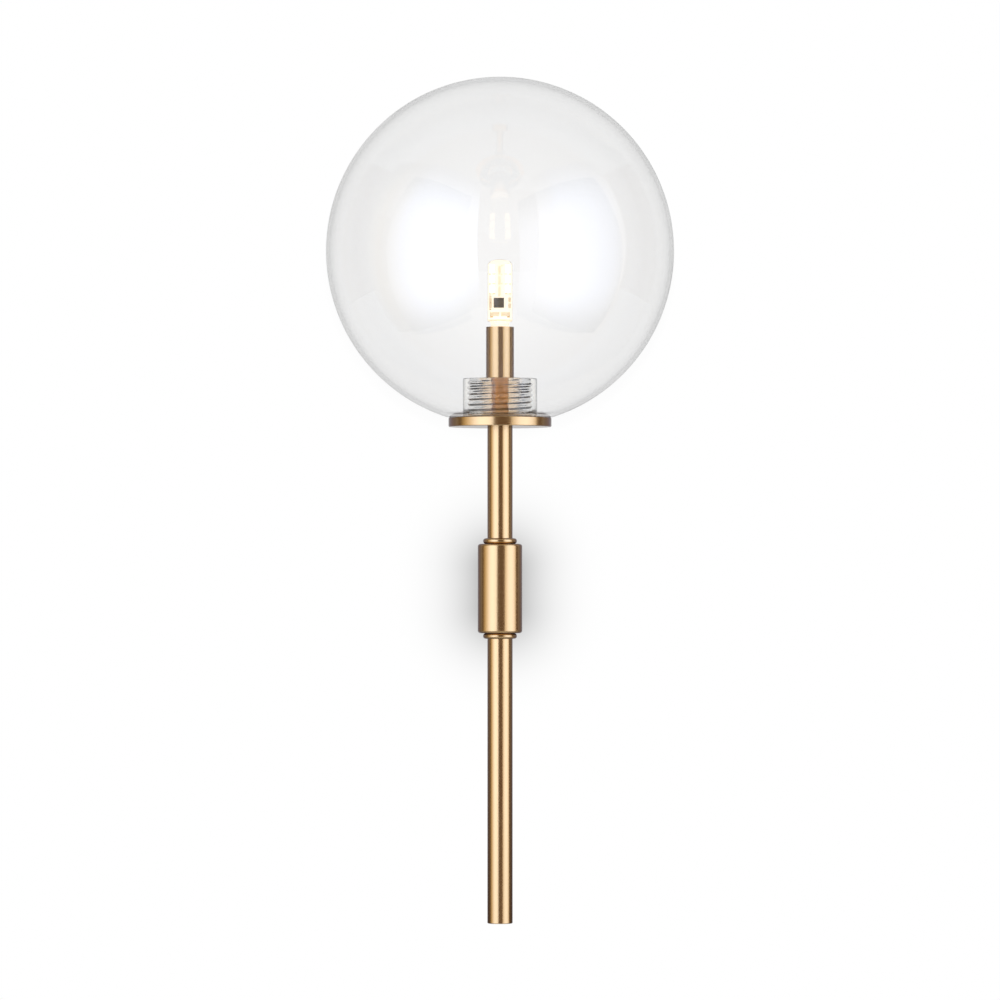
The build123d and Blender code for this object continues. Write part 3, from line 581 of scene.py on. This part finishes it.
# ---- glass globe and its clear bush -------------------------------------------------------
def make_globe(material):
    """Ball, ground base and re-entrant threaded neck, in one piece of glass."""
    inside = GLOBE_RADIUS - GLASS_WALL
    flat = GLOBE_CENTRE - GLOBE_BASE
    foot_angle = -math.degrees(math.asin(flat / GLOBE_RADIUS))
    floor_angle = -math.degrees(math.asin((flat - GLASS_FLOOR) / inside))
    fillet, arris = 1.5 * MM, 0.5 * MM
    arris_turn = 0.6                            # degrees of the ball that the arris takes
    steps = 110
    foot_radius = math.sqrt(GLOBE_RADIUS ** 2 - flat ** 2)
    outline = [(BORE_RADIUS + NECK_LIP, GLOBE_BASE), (foot_radius - 2 * arris, GLOBE_BASE)]
    outline += arc(0, GLOBE_CENTRE, GLOBE_RADIUS, foot_angle + arris_turn, 90, steps)
    outline += arc(0, GLOBE_CENTRE, inside, 90, floor_angle, steps)
    outline += arc(NECK_RADIUS + fillet, GLOBE_BASE + GLASS_FLOOR + fillet, fillet, 270, 180, 6)
    outline += arc(NECK_RADIUS - NECK_LIP, NECK_TOP - NECK_LIP, NECK_LIP, 0, 90, 5)
    outline += arc(BORE_RADIUS + NECK_LIP, NECK_TOP - NECK_LIP, NECK_LIP, 90, 180, 5)
    wall_foot, wall_top = GLOBE_BASE + NECK_LIP, NECK_TOP - NECK_LIP
    outline += rows(BORE_RADIUS, wall_top, wall_foot, THREAD_ROW)[1:]
    outline += arc(BORE_RADIUS + NECK_LIP, wall_foot, NECK_LIP, 180, 270, 5)[1:-1]
    bm = bmesh.new()
    turn(bm, outline, closed=True, segments=240)
    cut_thread(bm, BORE_RADIUS, wall_foot, wall_top, GLASS_THREAD)
    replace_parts(piece_from(bm, "glass_globe", "glass_globe", material, 60), "globe")


def make_bush(material):
    """Upturned cup of clear polycarbonate that the neck screws on to."""
    radius = (bush_high.x - bush_low.x) / 2
    wall, roof, lead_in, hole = 1.6 * MM, 2.4 * MM, 0.6 * MM, 5.05 * MM
    foot, top = bush_low.z, bush_high.z
    outline = rows(radius, foot, top - lead_in, THREAD_ROW)
    outline += [(radius - lead_in, top), (hole, top), (hole, top - roof),
                (radius - wall, top - roof), (radius - wall, foot)]
    bm = bmesh.new()
    turn(bm, outline, closed=True, segments=192)
    cut_thread(bm, radius, GLOBE_BASE + NECK_LIP, NECK_TOP - NECK_LIP, BUSH_THREAD)
    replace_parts(piece_from(bm, "threaded_bush", "wall_lamp", material, 60),
                "neck_bush")


# ---- lamp capsule ---------------------------------------------------------------------------
LED_WIDTH, LED_HEIGHT, LED_THICK = 2.6 * MM, 5.0 * MM, 0.7 * MM
LED_ACROSS = 3.65 * MM                          # from the stem's axis
WINDOW_SHARE, WINDOW_THICK = 0.94, 0.06 * MM    # of an LED's lit face, and its depth
BOARD_HALF = 0.5 * MM


def make_capsule_cover(material):
    """The silicone is cast solid round the board, so it magnifies what is in it."""
    radius = (cover_high.x - cover_low.x) / 2
    seat, rim, shoulder, crown = 0.05 * MM, 0.4 * MM, 3.2 * MM, 0.9 * MM
    nose, nose_drop = radius * 0.25, 0.1 * MM
    foot, top = cover_low.z + seat, cover_high.z
    outline = [(0, foot), (radius - rim, foot), (radius, foot + rim)]
    outline += arc(radius - shoulder, top - crown - shoulder, shoulder, 0, 72, 10)
    outline += [(nose, top - nose_drop), (0, top)]
    bm = bmesh.new()
    turn(bm, outline, closed=False, segments=96)
    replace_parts(piece_from(bm, "capsule_cover", "lamp_capsule", material),
                "capsule_envelope")


def make_leds(frame_material, phosphor):
    """Six packages on each face of the board: a white frame with a lit window of phosphor gel."""
    low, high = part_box("capsule_leds")
    pitch = (high.z - low.z - LED_HEIGHT) / 2
    frames, windows = bmesh.new(), bmesh.new()
    for face in (1, -1):
        for side in (1, -1):
            for row in range(3):
                centre = Vector((side * LED_ACROSS, STEM_Y - face * (BOARD_HALF + LED_THICK / 2),
                                 low.z + LED_HEIGHT / 2 + row * pitch))
                box(frames, centre, (LED_WIDTH, LED_THICK, LED_HEIGHT))
                box(windows, centre - Vector((0, face * (LED_THICK + WINDOW_THICK) / 2, 0)),
                    (LED_WIDTH * WINDOW_SHARE, WINDOW_THICK, LED_HEIGHT * WINDOW_SHARE))
    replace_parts(piece_from(frames, "led_packages", "lamp_capsule", frame_material),
                "capsule_leds")
    piece_from(windows, "led_windows", "lamp_capsule", phosphor)


def make_board_marks(name, material, thick, marks):
    """Flat marks or small parts on the board's front. marks are (x, height, width, tall) in
    millimetres, and height is from the board's foot to the mark's middle."""
    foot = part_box("capsule_board")[0].z
    bm = bmesh.new()
    for x, height, width, tall in marks:
        box(bm, (x * MM, STEM_Y - BOARD_HALF - thick * MM / 2, foot + height * MM),
            (width * MM, thick * MM, tall * MM))
    piece_from(bm, name, "lamp_capsule", material)


# ---- everything in its finish ---------------------------------------------------------------
finishes = {
    "satin_brass": satin_brass(),
    "turned_brass": turned_brass(),
    "zinc_steel": zinc_steel(),
    "nickel_spring": nickel_spring(),
    "clear_glass": clear_glass(),
    "clear_polycarbonate": clear_polycarbonate(),
    "clear_silicone": clear_silicone(),
    "capsule_silicone": capsule_silicone(),
    "steatite_ceramic": fired_ceramic("steatite_ceramic", "E4DFD2", 0.0),
    # painted light: the capsule's ceramic base and the ceramic parts on the board glow with the lamp's light
    "cream_ceramic": fired_ceramic("cream_ceramic", "F4EBDA", 0.9),
    "component_ceramic": fired_ceramic("component_ceramic", "F2EDE2", 0.5),
    "brown_insulation": moulded_plastic("brown_insulation", "5A3A26", "4E3220", 0.35),
    "blue_insulation": moulded_plastic("blue_insulation", "2450A0", "1E468F", 0.35),
    "earth_insulation": moulded_plastic("earth_insulation", "5D9A2C", "C9C02E", 0.35),
    "white_nylon": moulded_plastic("white_nylon", "EDEDEA", "E2E1DC", 0.4),
    # painted light: the board, the LED frames and the chip glow with the lamp's light that falls on them
    "white_circuit_board": moulded_plastic("white_circuit_board", "F1EEE4", "E9E4D6", 0.3, 1.0),
    "warm_led": moulded_plastic("led_frame", "F3EFE4", "E6DFCD", 0.3, 1.0),
    "black_epoxy": moulded_plastic("black_epoxy", "5A544C", "4A453E", 0.35, 0.04),
}
for subpart in frame["record"]["subparts"]:
    part = frame["nodes"][subpart["node"]]
    for place in part.material_slots:
        place.material = finishes[subpart["material_slot"]]

make_camera()
make_world()
make_wall()
make_floor()
make_diffuser("left_diffuser", -55, 1.1, 1.9, 2.4, 0.25, [
    (0, 0.15), (0.17, 0.4), (0.35, 0.8), (0.48, 1.2), (0.6, 1.42), (0.77, 1.4), (0.9, 1.25), (1.0, 1.05)])
make_diffuser("right_diffuser", 57, 1.1, 1.37, 2.4, 0.25, [
    (0, 0.75), (0.18, 0.95), (0.28, 1.25), (0.47, 1.35), (0.6, 1.35), (0.8, 1.1), (1.0, 0.7)])
make_diffuser("rear_diffuser", 180, 1.6, 0.9, 2.4, 0.1, [(0, 0.5), (0.5, 1.2), (1.0, 0.5)])
make_overhead()
make_globe(finishes["clear_glass"])
make_bush(finishes["clear_polycarbonate"])
make_capsule_cover(finishes["capsule_silicone"])
make_leds(finishes["warm_led"], lit_phosphor())
# painted light: the board's gilt tracks and solder glow with the lamp's light
gilt_track = moulded_plastic("gilt_track", "EFD3A4", "E6C28C", 0.3, 0.8)
warm_solder = moulded_plastic("warm_solder", "C79C62", "A27B48", 0.2, 0.15)
make_board_marks("board_track", gilt_track, 0.06,
                 [(-0.25, 16.2, 1.2, 5.6), (-0.25, 22.3, 1.2, 5.4), (-0.25, 28.2, 1.2, 5.2)])
make_board_marks("board_vias", finishes["turned_brass"], 0.1,
                 [(0.8, 30.8, 0.4, 0.4), (0.8, 25.9, 0.4, 0.4), (0.8, 20.6, 0.4, 0.4)])
# the LEDs' solder pads, which show in the gaps between them
make_board_marks("led_pads", finishes["turned_brass"], 0.4,
                 [(side * x, height, 1.0, 0.3) for side in (1, -1) for x in (2.7, 4.5)
                  for height in (14.8, 20.4, 26.1)])
make_board_marks("board_solder", warm_solder, 0.5,
                 [(-3.7, 1.7, 1.3, 1.0), (3.7, 1.7, 1.3, 1.0), (-4.4, 13.4, 1.0, 0.4),
                  (-4.4, 9.6, 1.0, 0.4), (-4.4, 5.9, 1.0, 0.4)])
make_board_marks("board_diodes", finishes["component_ceramic"], 0.8,
                 [(-1.9, 3.4, 2.3, 1.8), (2.3, 3.4, 2.3, 1.8)])
make_board_marks("diode_leads", finishes["nickel_spring"], 0.3,
                 [(-0.5, 3.4, 0.5, 1.2), (0.9, 3.4, 0.5, 1.2), (-3.3, 3.4, 0.4, 1.2), (3.7, 3.4, 0.4, 1.2)])

bpy.context.scene.view_settings.view_transform = "Standard"
# room for light to pass the globe, its neck and the bush twice
bpy.context.scene.cycles.max_bounces = 32
bpy.context.scene.cycles.transmission_bounces = 32
